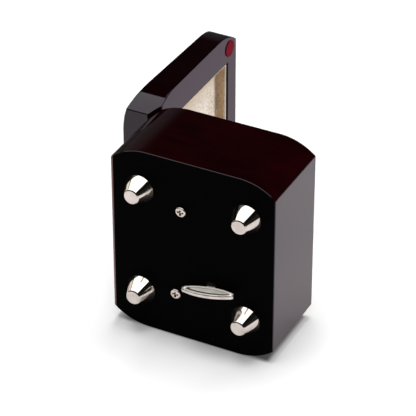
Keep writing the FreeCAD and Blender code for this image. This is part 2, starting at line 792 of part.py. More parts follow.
def winding_key():
    """The oval key: a beaded rim round a sunk field on both faces, and a tang up to the arbor's hub."""
    plate = oval_plate(key_length, key_height, key_end, key_thickness)
    plate = plate.makeFillet(key_bead, [e for e in plate.Edges if e.BoundBox.XLength < 1e-6])
    field = oval_plate(key_length - 2 * key_end_rim, key_height - 2 * key_rim, key_end / 2, key_sink)
    for side in (-1, 1):
        sunk = field.copy()
        sunk.translate(Vector(side * (key_thickness - key_sink) / 2, 0, 0))
        plate = plate.cut(sunk)
    hub_low = key_hub_bottom()
    tang = block((-key_thickness / 2, key_thickness / 2), (-key_tang / 2, key_tang / 2),
                 (key_clear + key_height - key_rim, hub_low + key_hub_floor / 2))
    hub = Part.makeCylinder(key_hub_radius, key_top() - hub_low, Vector(0, 0, hub_low))
    bore_low = hub_low + key_hub_floor
    bore = Part.makeCylinder(arbor_tail_radius + seat_fit, key_top() - bore_low, Vector(0, 0, bore_low))
    key = joined(plate, tang, hub).cut(bore)
    key.rotate(ORIGIN, ALONG_Z, -key_turned)
    key.translate(Vector(arbor_x, arbor_y, 0))
    return key


def ratchet_wheel():
    """A saw-toothed wheel on the arbor's square."""
    points = []
    for tooth in range(ratchet_teeth):
        angle = 2 * math.pi * tooth / ratchet_teeth
        for radius in (ratchet_radius - ratchet_tooth, ratchet_radius):
            points.append(Vector(radius * math.cos(angle), radius * math.sin(angle), 0))
    wheel = prism(points, ALONG_Z * ratchet_thickness)
    half = arbor_square / 2 + seat_fit
    wheel = wheel.cut(block((-half, half), (-half, half), (0, ratchet_thickness)))
    wheel.translate(Vector(arbor_x, arbor_y, ratchet_bottom))
    return wheel


def click_places():
    """The click's tip beside the ratchet and its pivot, straight back from the tip."""
    angle = math.radians(click_angle)
    reach = ratchet_radius + click_clear
    tip = Vector(arbor_x + reach * math.cos(angle), arbor_y + reach * math.sin(angle), ratchet_bottom)
    return tip, tip + ALONG_Y * click_reach


def click():
    """The ratchet's pawl: a tapered finger with a pivot boss."""
    tip, pivot = click_places()
    points = [tip, tip + ALONG_X * click_tip, pivot + ALONG_X * click_boss_radius,
              pivot - ALONG_X * click_boss_radius / 2]
    finger = prism(points, ALONG_Z * ratchet_thickness)
    boss = Part.makeCylinder(click_boss_radius, ratchet_thickness, pivot)
    hole = Part.makeCylinder(small_screw_radius + running_fit, ratchet_thickness, pivot)
    return joined(finger, boss).cut(hole)


def click_screw():
    """The shoulder screw that the click turns on."""
    pivot = click_places()[1]
    seat = ratchet_bottom + ratchet_thickness + running_fit
    return small_screws([(pivot.x, pivot.y)], seat, seat - bridge_bottom)


def barrel_bridge():
    """A folded plate over the barrel: it bears the arbor's top and the cylinder's right end."""
    left = lug_x
    right = arbor_x + bridge_width - (arbor_x - left)
    right = max(right, click_places()[1].x + click_boss_radius)
    reach = leg_inside + bridge_leg
    top = block((left, right), (arbor_y - reach, arbor_y + reach), (bridge_bottom, bridge_top))
    pieces = [block((left, left + lug_thickness), (cylinder_y - lug_half, cylinder_y + lug_half),
                    (bridge_bottom, cylinder_z + lug_above))]
    foot_half = bridge_width / 2 - bridge_leg
    x_span = (arbor_x - foot_half, arbor_x + foot_half)
    for side in (-1, 1):
        leg_y = sorted((arbor_y + side * leg_inside, arbor_y + side * reach))
        foot_y = sorted((arbor_y + side * leg_inside, arbor_y + side * (reach + bridge_foot)))
        pieces.append(block(x_span, leg_y, (bed_top, bridge_bottom)))
        pieces.append(block(x_span, foot_y, (bed_top, bed_top + plate_thickness)))
    bridge = joined(top, *pieces)
    pivot = click_places()[1]
    holes = [upright(arbor_pivot_radius + running_fit, arbor_spot, bridge_bottom, bridge_top),
             upright(small_screw_radius + seat_fit, (pivot.x, pivot.y), bridge_bottom, bridge_top),
             rod(shaft_radius + running_fit, Vector(left, cylinder_y, cylinder_z),
                 Vector(left + lug_thickness, cylinder_y, cylinder_z))]
    for spot in bridge_screw_spots():
        holes.append(upright(small_screw_radius + seat_fit, spot, bed_top, bed_top + plate_thickness))
    return bridge.cut(holes)


def cylinder_tube():
    """The thin brass tube that carries the pins."""
    start = Vector(cylinder_left, cylinder_y, cylinder_z)
    end = Vector(cylinder_right, cylinder_y, cylinder_z)
    return rod(cylinder_radius, start, end).cut(rod(cylinder_radius - cylinder_wall, start, end))


def cylinder_pins():
    """The tune: a melody note on every beat and a bass note on every fourth, driven into the tube."""
    foot_radius = cylinder_radius - pin_root
    pin = block((-pin_width / 2, pin_width / 2), (-pin_width / 2, pin_width / 2),
                (foot_radius, cylinder_radius + pin_height))
    pins = []
    for beat in range(comb_beats):
        melody = comb_notes // 2 + round(comb_notes / 3 * math.sin(beat * 0.9) + 2 * math.sin(beat * 2.3))
        notes = {melody}
        if beat % 4 == 0:
            notes.add((beat // 4) % (comb_notes // 4))
        if beat % 2 == 1:
            notes.add(comb_notes // 4 + beat % (comb_notes // 4))
        for note in sorted(notes):
            placed = pin.copy()
            placed.rotate(ORIGIN, ALONG_X, 360 * beat / comb_beats)
            x = cylinder_left + comb_pitch * (note + 0.5)
            placed.translate(Vector(x, cylinder_y, cylinder_z))
            pins.append(placed)
    return Part.makeCompound(pins)


def cylinder_shaft():
    """The steel shaft through the cylinder, from the bearing plate to the bridge's lug."""
    start = Vector(plate_left, cylinder_y, cylinder_z)
    return rod(shaft_radius, start, Vector(lug_x + lug_thickness, cylinder_y, cylinder_z))


def tube_plug(length):
    """The turned step of an end gear that fits inside the tube, about Z."""
    return Part.makeCylinder(cylinder_radius - cylinder_wall - seat_fit, length)


def cylinder_gear():
    """The gear at the cylinder's left end, with a plug inside the tube."""
    toward_governor = math.atan2(governor_z - cylinder_z, governor_y - cylinder_y)
    gear = toothed_disc(cylinder_gear_teeth, train_module, train_width, toward_governor)
    plug = tube_plug(train_width)
    plug.translate(ALONG_Z * train_width)
    gear = joined(gear, plug).cut(Part.makeCylinder(shaft_radius + seat_fit, 2 * train_width))
    return on_cross_axis(gear, gear_left, cylinder_y, cylinder_z)


def cylinder_pinion():
    """The pinion over the crown teeth, with a plug inside the tube's right end."""
    half_tooth = math.pi / pinion_teeth
    start = cylinder_right - train_width
    teeth_low = pinion_x - pinion_width / 2 - start
    pinion = toothed_disc(pinion_teeth, gear_module, pinion_width, half_tooth - math.pi / 2)
    pinion.translate(ALONG_Z * teeth_low)
    neck = Part.makeCylinder(pinion_radius - tooth_drop - running_fit, teeth_low)
    gear = joined(pinion, neck, tube_plug(train_width))
    gear = gear.cut(Part.makeCylinder(shaft_radius + seat_fit, teeth_low + pinion_width))
    return on_cross_axis(gear, start, cylinder_y, cylinder_z)


def bearing_plate():
    """The upright plate that bears the cylinder's left end and the governor's arbor."""
    low_y = governor_y - plate_half
    high_y = cylinder_y + 2 * plate_half
    plate = block((plate_left, plate_right), (low_y, high_y), (bed_top, cylinder_z + plate_half))
    foot_right = plate_screw_spots()[0][0] + small_head_radius
    sole = block((plate_left, foot_right), (low_y, high_y), (bed_top, bed_top + plate_thickness))
    plate = joined(plate, sole)
    holes = [rod(shaft_radius + running_fit, Vector(plate_left, cylinder_y, cylinder_z),
                 Vector(plate_right, cylinder_y, cylinder_z)),
             rod(arbor_wire + running_fit, Vector(plate_left, governor_y, governor_z),
                 Vector(plate_right, governor_y, governor_z))]
    for spot in plate_screw_spots():
        holes.append(upright(small_screw_radius + seat_fit, spot, bed_top, bed_top + plate_thickness))
    return plate.cut(holes)


def comb():
    """The steel comb: a thick seat, and thin teeth that get shorter from bass to treble."""
    left = cylinder_left
    right = cylinder_right
    outline = [(left, comb_tip_y), (right, comb_tip_y), (right, comb_back_y), (left, comb_back_y)]
    plate = prism([Vector(x, y, comb_bottom) for x, y in outline], ALONG_Z * comb_base)
    bass_root_y = comb_root_y + comb_tooth_slant
    thin = [(left, comb_tip_y), (right, comb_tip_y), (right, comb_root_y), (left, bass_root_y)]
    shave = (comb_base - comb_tooth) / 2
    cuts = []
    for level in (comb_bottom, comb_bottom + comb_base - shave):
        cuts.append(prism([Vector(x, y, level) for x, y in thin], ALONG_Z * shave))
    for gap in range(1, comb_notes):
        x = left + gap * comb_pitch
        share = (right - x) / cylinder_length
        root = comb_root_y + share * comb_tooth_slant
        x_span = (x - comb_slot / 2, x + comb_slot / 2)
        cuts.append(block(x_span, (comb_tip_y, root), (comb_bottom, comb_bottom + comb_base)))
    for spot in comb_screw_spots():
        cuts.append(upright(small_screw_radius + seat_fit, spot, comb_bottom, comb_bottom + comb_base))
    return plate.cut(cuts)


def governor_arbor():
    """The governor's first arbor, cut in one piece with its pinion."""
    toward_cylinder = math.atan2(cylinder_z - governor_z, cylinder_y - governor_y)
    gap = toward_cylinder + math.pi / governor_pinion_teeth
    width = train_width - moving_gap / 4
    pinion = toothed_disc(governor_pinion_teeth, train_module, width, gap)
    pinion = on_cross_axis(pinion, gear_left, governor_y, governor_z)
    wire = rod(arbor_wire, Vector(bracket_left, governor_y, governor_z),
               Vector(gear_left + width, governor_y, governor_z))
    return joined(pinion, wire)


def worm_wheel():
    """The governor's wheel, in mesh with the worm at its front."""
    wheel = toothed_disc(wheel_teeth, train_module, wheel_width, math.pi)
    wheel = wheel.cut(Part.makeCylinder(arbor_wire + seat_fit, wheel_width))
    return on_cross_axis(wheel, worm_x - wheel_width / 2, governor_y, governor_z)


def worm():
    """The endless screw: two thread starts on a core, with a fine shaft up to the fly."""
    root = worm_pitch_radius - 1.0 * train_module
    low = governor_z - worm_lead
    high = governor_z + worm_lead
    shaft = [upright(worm_wire, (worm_x, worm_y), panel_top + bed_thickness / 2, low),
             upright(root, (worm_x, worm_y), low, high + worm_tip_radius / 2),
             upright(worm_wire, (worm_x, worm_y), high, arm_bottom + plate_thickness)]
    screw = joined(shaft[0], *shaft[1:])
    sunk = root - running_fit
    root_half = 0.64 * train_module
    tip_half = 0.28 * train_module
    thread = [(sunk, -root_half), (worm_tip_radius, -tip_half),
              (worm_tip_radius, tip_half), (sunk, root_half)]
    for start in range(worm_starts):
        path = Part.makeHelix(worm_lead, high - low, worm_pitch_radius)
        points = [Vector(radius, 0, rise) for radius, rise in thread]
        profile = Part.makePolygon(points + points[:1])
        ridge = Part.Wire(path.Edges).makePipeShell([profile], True, True)
        ridge.rotate(ORIGIN, ALONG_Z, 360 * start / worm_starts)
        ridge.translate(Vector(worm_x, worm_y, low))
        screw = screw.fuse(ridge)
    return screw


def fly():
    """The air brake: two vanes on a hub, with a smooth disc on top for the stop's felt."""
    spot = (worm_x, worm_y)
    hub = upright(fly_hub, spot, fly_bottom, fly_top)
    disc = upright(brake_disc_radius, spot, fly_top, brake_top)
    vanes = block((worm_x - fly_radius, worm_x + fly_radius),
                  (worm_y - fly_vane / 2, worm_y + fly_vane / 2),
                  (fly_bottom, fly_top))
    bore = upright(worm_wire + seat_fit, spot, fly_bottom, brake_top)
    return joined(hub, disc, vanes).cut(bore)


def governor_bracket():
    """The bracket that bears the governor's arbor and reaches over the fly to its top pivot."""
    low_y = governor_y - plate_half
    high_y = governor_y + 1.5 * plate_half
    arm_top = arm_bottom + plate_thickness
    plate = block((bracket_left, bracket_right), (low_y, high_y), (bed_top, arm_top))
    foot_left = bracket_screw_spots()[0][0] - small_head_radius
    sole = block((foot_left, bracket_right), (low_y, high_y), (bed_top, bed_top + plate_thickness))
    past_worm = 2 * worm_wire
    arm = block((bracket_left, worm_x + past_worm), (worm_y - past_worm, high_y), (arm_bottom, arm_top))
    bracket = joined(plate, sole, arm)
    holes = [rod(arbor_wire + running_fit, Vector(bracket_left, governor_y, governor_z),
                 Vector(bracket_right, governor_y, governor_z)),
             upright(worm_wire + running_fit, (worm_x, worm_y), arm_bottom, arm_top)]
    for spot in bracket_screw_spots():
        holes.append(upright(small_screw_radius + seat_fit, spot, bed_top, bed_top + plate_thickness))
    return bracket.cut(holes)


def stop_pad_level():
    """The rest level of the stop felt's lower face."""
    return brake_top + stop_gap + stop_travel


def stop_plunger():
    """The rod up through the tray that the lid's lining presses as it closes."""
    spot = (stop_x, stop_y)
    low = stop_pad_level() + stop_pad
    high = rim + lid_recess_depth - liner_board - stop_gap + stop_travel
    collar_top = tray_bottom - stop_gap
    collar = upright(stop_collar, spot, collar_top - stop_collar_height, collar_top)
    stem = upright(stop_radius, spot, low, high)
    tip = [e for e in stem.Edges if e.BoundBox.ZMin > high - 1e-6]
    return joined(stem.makeFillet(stop_radius / 2, tip), collar)


def stop_felt():
    """The felt under the plunger that rubs on the fly's disc."""
    low = stop_pad_level()
    return upright(stop_pad_radius, (stop_x, stop_y), low, low + stop_pad)


foot_floor = bed_top + plate_thickness
foot_grip = plate_thickness + bed_thickness
comb_face = comb_bottom + comb_base
nodes = box_walls()
nodes["bottom_panel"] = bottom_panel()
for foot_name, foot_place in foot_spots().items():
    nodes[foot_name] = foot(foot_place)
nodes["mount_screws"] = mount_screws()
nodes["tray"] = tray()
nodes["tray_cleats"] = tray_cleats()
nodes["lid_shell"] = lid_shell()
nodes["lid_liner"] = lid_liner()
for side_name, side_sign in (("left", -1), ("right", 1)):
    nodes["lid_bumper_" + side_name] = lid_bumper(side_sign)
    nodes["hinge_body_leaf_" + side_name] = hinge_leaf_solid(side_sign, False)
    nodes["hinge_lid_leaf_" + side_name] = hinge_leaf_solid(side_sign, True)
nodes["hinge_pins"] = hinge_pins()
nodes["hinge_body_screws"] = hinge_screws(False)
nodes["hinge_lid_screws"] = hinge_screws(True)
nodes["bedplate"] = bedplate()
nodes["spring_barrel"] = spring_barrel()
nodes["barrel_cover"] = barrel_cover()
nodes["mainspring"] = mainspring()
nodes["winding_arbor"] = winding_arbor()
nodes["winding_key"] = winding_key()
nodes["ratchet_wheel"] = ratchet_wheel()
nodes["click"] = click()
nodes["click_screw"] = click_screw()
nodes["barrel_bridge"] = barrel_bridge()
nodes["bridge_screws"] = small_screws(bridge_screw_spots(), foot_floor, foot_grip)
nodes["cylinder_tube"] = cylinder_tube()
nodes["cylinder_pins"] = cylinder_pins()
nodes["cylinder_shaft"] = cylinder_shaft()
nodes["cylinder_gear"] = cylinder_gear()
nodes["cylinder_pinion"] = cylinder_pinion()
nodes["bearing_plate"] = bearing_plate()
nodes["bearing_plate_screws"] = small_screws(plate_screw_spots(), foot_floor, foot_grip)
nodes["comb"] = comb()
nodes["comb_screws"] = small_screws(comb_screw_spots(), comb_face, comb_base + comb_seat / 2)
nodes["governor_arbor"] = governor_arbor()
nodes["worm_wheel"] = worm_wheel()
nodes["worm"] = worm()
nodes["fly"] = fly()
nodes["governor_bracket"] = governor_bracket()
nodes["governor_screws"] = small_screws(bracket_screw_spots(), foot_floor, foot_grip)
nodes["stop_plunger"] = stop_plunger()
nodes["stop_felt"] = stop_felt()

os.makedirs("parts", exist_ok=True)
for node_name, solid in nodes.items():
    if not solid.isValid():
        print("not valid:", node_name)
    solid.translate(frame_shift)
    solid.exportStep(os.path.join("parts", node_name + ".step"))
print(len(nodes), "nodes, rim at", rim, "cylinder axis at", cylinder_z)
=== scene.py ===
import math

import bpy
import numpy as np
from mathutils import Matrix, Vector


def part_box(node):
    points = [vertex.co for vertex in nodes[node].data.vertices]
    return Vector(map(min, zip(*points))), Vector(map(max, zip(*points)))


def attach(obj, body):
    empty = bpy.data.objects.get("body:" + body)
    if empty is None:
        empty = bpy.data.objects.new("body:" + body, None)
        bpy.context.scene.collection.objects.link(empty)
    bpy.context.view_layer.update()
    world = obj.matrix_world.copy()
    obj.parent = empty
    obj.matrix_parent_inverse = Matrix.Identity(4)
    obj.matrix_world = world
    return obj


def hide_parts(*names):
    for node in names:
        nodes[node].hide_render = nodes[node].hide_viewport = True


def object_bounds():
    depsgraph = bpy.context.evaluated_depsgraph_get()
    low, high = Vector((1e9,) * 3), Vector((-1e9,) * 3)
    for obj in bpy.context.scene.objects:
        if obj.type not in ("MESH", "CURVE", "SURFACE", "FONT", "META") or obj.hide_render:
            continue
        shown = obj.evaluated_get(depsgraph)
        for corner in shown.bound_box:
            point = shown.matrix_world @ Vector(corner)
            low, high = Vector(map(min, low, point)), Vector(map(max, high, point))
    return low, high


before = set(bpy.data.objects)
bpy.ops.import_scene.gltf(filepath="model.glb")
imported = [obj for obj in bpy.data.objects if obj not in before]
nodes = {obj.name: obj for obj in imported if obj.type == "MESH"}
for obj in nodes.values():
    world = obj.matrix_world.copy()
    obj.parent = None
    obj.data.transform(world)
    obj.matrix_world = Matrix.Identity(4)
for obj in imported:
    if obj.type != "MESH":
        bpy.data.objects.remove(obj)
cad_low, cad_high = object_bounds()


# Bottom panel
# A board under the box, drilled for the feet, the movement's screws and the winding key. Its
# edge is lacquered with the walls and, along the back, bumped round and painted light red-brown as a
# painted highlight. Its underside is left matt black.
class Paint:
    """One output socket of a finish. Arithmetic on it adds Math nodes, and add() makes any other node."""

    def __init__(self, tree, socket=None):
        self.tree = tree
        self.socket = socket

    def add(self, kind, settings, values, out=0):
        """A node of one kind: its settings first, then the values or links of its sockets."""
        node = self.tree.nodes.new(kind)
        for name, value in settings.items():
            setattr(node, name, value)
        for name, value in values.items():
            if isinstance(value, Paint):
                self.tree.links.new(value.socket, node.inputs[name])
            else:
                node.inputs[name].default_value = value
        return Paint(self.tree, node.outputs[out])

    def calculate(self, operation, first, second):
        """A Math node on two values."""
        return self.add("ShaderNodeMath", {"operation": operation}, {0: first, 1: second})

    def __add__(self, other):
        return self.calculate("ADD", self, other)

    def __radd__(self, other):
        return self.calculate("ADD", other, self)

    def __sub__(self, other):
        return self.calculate("SUBTRACT", self, other)

    def __rsub__(self, other):
        return self.calculate("SUBTRACT", other, self)

    def __mul__(self, other):
        return self.calculate("MULTIPLY", self, other)

    def __rmul__(self, other):
        return self.calculate("MULTIPLY", other, self)

    def __truediv__(self, other):
        return self.calculate("DIVIDE", self, other)

    def __pow__(self, other):
        return self.calculate("POWER", self, other)

    def step(self, low, high):
        """0 at low, 1 at high and a smooth rise between them."""
        settings = {"interpolation_type": "SMOOTHSTEP"}
        return self.add("ShaderNodeMapRange", settings, {"Value": self, "From Min": low, "From Max": high})

    def blend(self, first, second):
        """The colour between two colours at this value."""
        def ready(colour):
            return colour if isinstance(colour, Paint) else (*colour, 1.0)

        sockets = {0: self, 6: ready(first), 7: ready(second)}
        return self.add("ShaderNodeMix", {"data_type": "RGBA"}, sockets, out=2)

    def place(self):
        """Object coordinates."""
        return self.add("ShaderNodeTexCoord", {}, {}, out="Object")

    def about(self, middle, turn=(0, 0, 0)):
        """Object coordinates from a middle, along axes turned by three angles."""
        sockets = {"Vector": self.place(), "Location": middle, "Rotation": turn}
        return self.add("ShaderNodeMapping", {"vector_type": "TEXTURE"}, sockets)

    def stretched(self, scale):
        """Object coordinates times a scale for each axis."""
        return self.add("ShaderNodeVectorMath", {"operation": "MULTIPLY"}, {0: self.place(), 1: scale})

    def axis(self, letter):
        """One axis of a vector."""
        return self.add("ShaderNodeSeparateXYZ", {}, {0: self}, out=letter)

    def noise(self, scale, detail=3.0, roughness=0.55, vector=None):
        sockets = {"Vector": vector or self.place(), "Scale": scale, "Detail": detail, "Roughness": roughness}
        return self.add("ShaderNodeTexNoise", {}, sockets)

    def bump(self, height, strength, distance):
        sockets = {"Height": height, "Strength": strength, "Distance": distance}
        return self.add("ShaderNodeBump", {}, sockets)

    def shader(self, values):
        return self.add("ShaderNodeBsdfPrincipled", {}, values)

    def surface(self, shader, output="ShaderNodeOutputMaterial"):
        """Sends a shader to the finish's output."""
        self.add(output, {}, {"Surface": shader}, out=slice(0, 0))


def new_finish(name):
    """An empty node material and the Paint that fills it."""
    material = bpy.data.materials.new(name)
    material.use_nodes = True
    material.node_tree.nodes.clear()
    return material, Paint(material.node_tree)


def wear(material, *names):
    """Gives CAD nodes a finish."""
    for name in names:
        nodes[name].data.materials.clear()
        nodes[name].data.materials.append(material)


def lacquer_shader(paint, grain_scale, tone=1.0, arris=None):
    """Red-brown figure under a deep clear gloss: streaks of noise stretched along the grain.

    A tone below 1 is a deeper red. Where an arris is given, from 0 to 1, the edge is bumped round and
    carries a painted highlight in light red-brown.
    """
    dark_figure = (0.0046 * tone, 0.0002, 0.0004)
    red_figure = (0.0105 * tone, 0.0003, 0.0009)
    highlight_red_brown = (0.27, 0.11, 0.075)
    ripple_depth = 0.003
    arris_round_depth = 0.35
    streak = paint.noise(1.0, 5.0, 0.62, paint.stretched(grain_scale))
    cloud = paint.noise(28.0, 2.0)
    pore = paint.noise(4.0, 2.0, 0.5, paint.stretched(grain_scale)).step(0.62, 0.72)
    figure = (streak * 0.5 + cloud * 0.5).step(0.3, 0.7) * (1 - 0.35 * pore)
    colour = figure.blend(dark_figure, red_figure)
    relief = paint.noise(620.0, 1.0) * ripple_depth
    # Along the arris: a painted highlight in light red-brown, and a bump that rounds the edge.
    if arris:
        colour = arris.blend(colour, highlight_red_brown)
        relief = relief - arris * arris * arris_round_depth
    return paint.shader({
        "Base Color": colour,
        "Roughness": 0.04 + 0.035 * cloud,
        "Normal": paint.bump(relief, 1.0, 0.001),
        "IOR": 1.5,
        "Specular Tint": (0.90, 0.84, 0.95, 1.0),
    })


panel_low, panel_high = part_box("bottom_panel")
foot_level = panel_low.z
arris_width = 0.0013
edge_start = foot_level + 0.00002
edge_end = foot_level + 0.00006
grain_along_y = (240, 60, 240)
black = (0.0004, 0.0004, 0.0004)
smudged_black = (0.0013, 0.0011, 0.0012)
panel_black, paint = new_finish("panel_black")
fibre = paint.noise(1.0, 4.0, 0.55, paint.stretched((900, 260, 900)))
smudge = paint.noise(45.0, 4.0, 0.6)
matt_black = paint.shader({
    "Base Color": (smudge * fibre).step(0.15, 0.5).blend(black, smudged_black),
    "Roughness": 0.34 + 0.2 * smudge,
    "Normal": paint.bump(fibre, 0.1, 0.00005),
    "Specular IOR Level": 0.012,
})
edge = paint.place().axis("Z").step(edge_start, edge_end)
# The back edge of the underside carries the painted highlight.
arris = paint.place().axis("Y").step(panel_high.y - arris_width, panel_high.y - arris_width / 3)
bare = (1 - edge) * (1 - arris.step(0.0, 0.3))
low_part = 1 - paint.place().axis("Z").step(foot_level, foot_level + arris_width)
lacquered = lacquer_shader(paint, grain_along_y, arris=arris * low_part)
both = {0: 1 - bare, 1: matt_black, 2: lacquered}
paint.surface(paint.add("ShaderNodeMixShader", {}, both))
wear(panel_black, "bottom_panel")


# Boards and lid block
# Four boards mitred at the corners and a solid lid, sanded round and finished in many coats
# of dark burgundy lacquer, painted a darker red on the lid. The grain runs along each board.
grain_along_x = (60, 240, 240)
for finish_name, grain, tone, names in (
    ("lacquer_along_x", grain_along_x, 1.0, ("front_wall", "back_wall")),
    ("lacquer_along_y", grain_along_y, 1.0, ("left_end_wall", "right_end_wall")),
    ("lacquer_lid", grain_along_x, 0.5, ("lid_shell",)),
):
    lacquer, paint = new_finish(finish_name)
    paint.surface(lacquer_shader(paint, grain, tone))
    wear(lacquer, *names)


# Feet and movement screws
# Cones turned from bar and pan-head screws, all polished and nickel plated.
# Faint lathe rings run round each cone, and polishing has softened the edge of its tip.
nickel_dull = (0.63, 0.58, 0.515)
nickel_bright = (0.75, 0.70, 0.635)
ring_depth = 0.0006
tip_height = 0.0007
tip_round = 0.2
nickel, paint = new_finish("nickel_polished")
cloud = paint.noise(160.0)
ring = paint.noise(1.0, 2.0, 0.5, paint.stretched((20, 20, 9000)))
tip = 1 - paint.place().axis("Z").step(0.0, tip_height)
paint.surface(paint.shader({
    "Base Color": cloud.step(0.3, 0.7).blend(nickel_dull, nickel_bright),
    "Metallic": 1.0,
    "Roughness": 0.05 + 0.05 * cloud,
    "Normal": paint.bump(ring * ring_depth - tip * tip_round, 1.0, 0.001),
}))
wear(nickel, "mount_screws", "foot_front_left", "foot_front_right", "foot_back_left", "foot_back_right")


# Winding key
# A die-struck oval plate, nickel plated: a polished bead round a sunk field, which the die
# leaves evenly stippled. A painted shadow of the bead darkens the field along its low side. It
# stands square to the panel on the end of the winding arbor, and where it meets the panel it is
# painted dark brown as painted shade.
key_turn = math.radians(-8.5)
key_half_height = 0.00345
rim_middle = (0.0115, 0.0027)
sunk_half, rim_half = 0.0004, 0.0009
field_half = (0.0102, 0.00205)
shade_reach = 0.00145
stipple_depth = 0.05
bead_round = 0.7
bead_scale = 500
bevel_slope = 650
struck_dull = (0.78, 0.75, 0.695)
struck_bright = (0.93, 0.90, 0.84)
bead_bright = (0.95, 0.90, 0.82)
shadow_brown = (0.020, 0.014, 0.011)
hub_start = foot_level - 0.0001
hub_end = foot_level + 0.0002
key_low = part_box("winding_key")[0]
arbor_low, arbor_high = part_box("winding_arbor")
arbor_middle = (arbor_low + arbor_high) / 2
key_middle = (arbor_middle.x, arbor_middle.y, key_low.z + key_half_height)
key_nickel, paint = new_finish("key_nickel")
local = paint.about(key_middle, (0, 0, key_turn))
through = (local.axis("X") / rim_half) ** 2
across = local.axis("Y") / rim_middle[0]
upward = local.axis("Z") / rim_middle[1]
past_middle = across * across + upward * upward - 1
steepness = ((across / rim_middle[0]) ** 2 + (upward / rim_middle[1]) ** 2) ** 0.5
from_middle = past_middle / steepness * bead_scale
raised = through.step(0.8, 0.95)
inside = (1 - past_middle.step(-0.06, 0.0)) * (1 - raised)
sunk_level = (sunk_half / rim_half) ** 2
field = inside * (1 - through.step(1.1 * sunk_level, 1.5 * sunk_level))
shade_across = local.axis("Y") / field_half[0]
shade_upward = (local.axis("Z") - shade_reach) / field_half[1]
# Painted shadow of the bead on the field's low side, in dark brown.
painted_bead_shadow = field * (shade_across ** 2 + shade_upward ** 2).step(0.95, 1.1)
# Painted shade where the key meets the panel, in dark brown.
hub_painted_shade = paint.place().axis("Z").step(hub_start, hub_end)
grains = paint.add("ShaderNodeTexVoronoi", {}, {"Vector": paint.place(), "Scale": 3200.0})
cloud = paint.noise(180.0)
mottle = cloud.step(0.35, 0.65)
struck = mottle.blend(struck_dull, struck_bright)
rubbed = raised.blend(mottle.blend(nickel_dull, nickel_bright), bead_bright)
plate = field.blend(rubbed, struck)
bevel = local.axis("Z") * bevel_slope
bead = grains * field * stipple_depth + raised * (bevel - from_middle * from_middle * bead_round)
paint.surface(paint.shader({
    "Base Color": (hub_painted_shade + painted_bead_shadow).blend(plate, shadow_brown),
    "Metallic": 1 - 0.9 * field - 0.3 * raised,
    "Roughness": 0.22 + 0.08 * cloud + 0.3 * field + 0.12 * raised + 0.3 * hub_painted_shade,
    "Normal": paint.bump(bead, 1.0, 0.001),
}))
wear(key_nickel, "winding_key")


# Movement
# A satin die-cast bed and bridge carry brass drum and cylinder, ground steel comb, pins, shafts
# and screws, and a nylon wheel and fly. All of it is hidden below the tray.
for finish_name, dull, bright, metal, gloss, scale, names in (
    ("cast_metal", (0.46, 0.40, 0.29), (0.62, 0.56, 0.43), 1.0, 0.38, (700, 700, 700),
     ("bedplate", "barrel_bridge")),
    ("brass_turned", (0.62, 0.43, 0.15), (0.80, 0.60, 0.27), 1.0, 0.2, (2600, 300, 300),
     ("spring_barrel", "barrel_cover", "cylinder_tube", "cylinder_gear", "cylinder_pinion")),
    ("steel_ground", (0.42, 0.42, 0.43), (0.62, 0.62, 0.62), 1.0, 0.24, (300, 2600, 300),
     ("mainspring", "winding_arbor", "ratchet_wheel", "click", "click_screw", "bridge_screws",
      "cylinder_pins", "cylinder_shaft", "bearing_plate", "bearing_plate_screws", "comb", "comb_screws",
      "governor_arbor", "worm", "governor_bracket", "governor_screws")),
    ("nylon_moulded", (0.70, 0.68, 0.61), (0.80, 0.78, 0.72), 0.0, 0.42, (500, 500, 500),
     ("worm_wheel", "fly")),
):
    finish, paint = new_finish(finish_name)
    scratch = paint.noise(1.0, 4.0, 0.6, paint.stretched(scale))
    stain = paint.noise(90.0, 4.0)
    paint.surface(paint.shader({
        "Base Color": (scratch * 0.4 + stain * 0.6).step(0.35, 0.62).blend(dull, bright),
        "Metallic": metal,
        "Roughness": gloss + 0.16 * stain,
        "Normal": paint.bump(scratch, 0.12, 0.00004),
    }))
    wear(finish, *names)


# Tray cleats
# Two softwood strips, sawn and glued to the end boards, with the grain along them. They carry
# the tray.
bare_wood, paint = new_finish("softwood_sawn")
grain = paint.noise(1.0, 4.0, 0.6, paint.stretched((700, 50, 700)))
paint.surface(paint.shader({
    "Base Color": grain.step(0.35, 0.65).blend((0.40, 0.27, 0.15), (0.62, 0.47, 0.30)),
    "Roughness": 0.62 + 0.2 * grain,
    "Normal": paint.bump(grain, 0.3, 0.0001),
}))
wear(bare_wood, "tray_cleats")


# Tray
# A shallow board tray over the movement, lined all over in beige velvet that is drawn over its
# lip and glued. The stop plunger comes up through a hole in its floor.
ring_points = 180


def round_rectangle(half_a, half_b, radius):
    """A ring of points: a point slides round the core rectangle while an arm of the corner radius turns."""
    core_a = half_a - radius
    core_b = half_b - radius
    corner = np.arange(10)
    step = np.linspace(0, 9, ring_points, endpoint=False)
    arm = np.interp(step, corner, np.array([0, 0, 1, 1, 2, 2, 3, 3, 4, 4]) * np.pi / 2)
    slide_a = np.interp(step, corner, np.array([1, 1, 1, -1, -1, -1, -1, 1, 1, 1]) * core_a)
    slide_b = np.interp(step, corner, np.array([0, 1, 1, 1, 1, -1, -1, -1, -1, 0]) * core_b)
    return np.stack([slide_a + radius * np.cos(arm), slide_b + radius * np.sin(arm)], axis=1)


def arc(centre, radius, start, end, count=8):
    """Points of a profile on a circle, from one angle in degrees to another."""
    angle = np.radians(np.linspace(start, end, count))
    return np.stack([centre[0] + radius * np.cos(angle), centre[1] + radius * np.sin(angle)], axis=1)


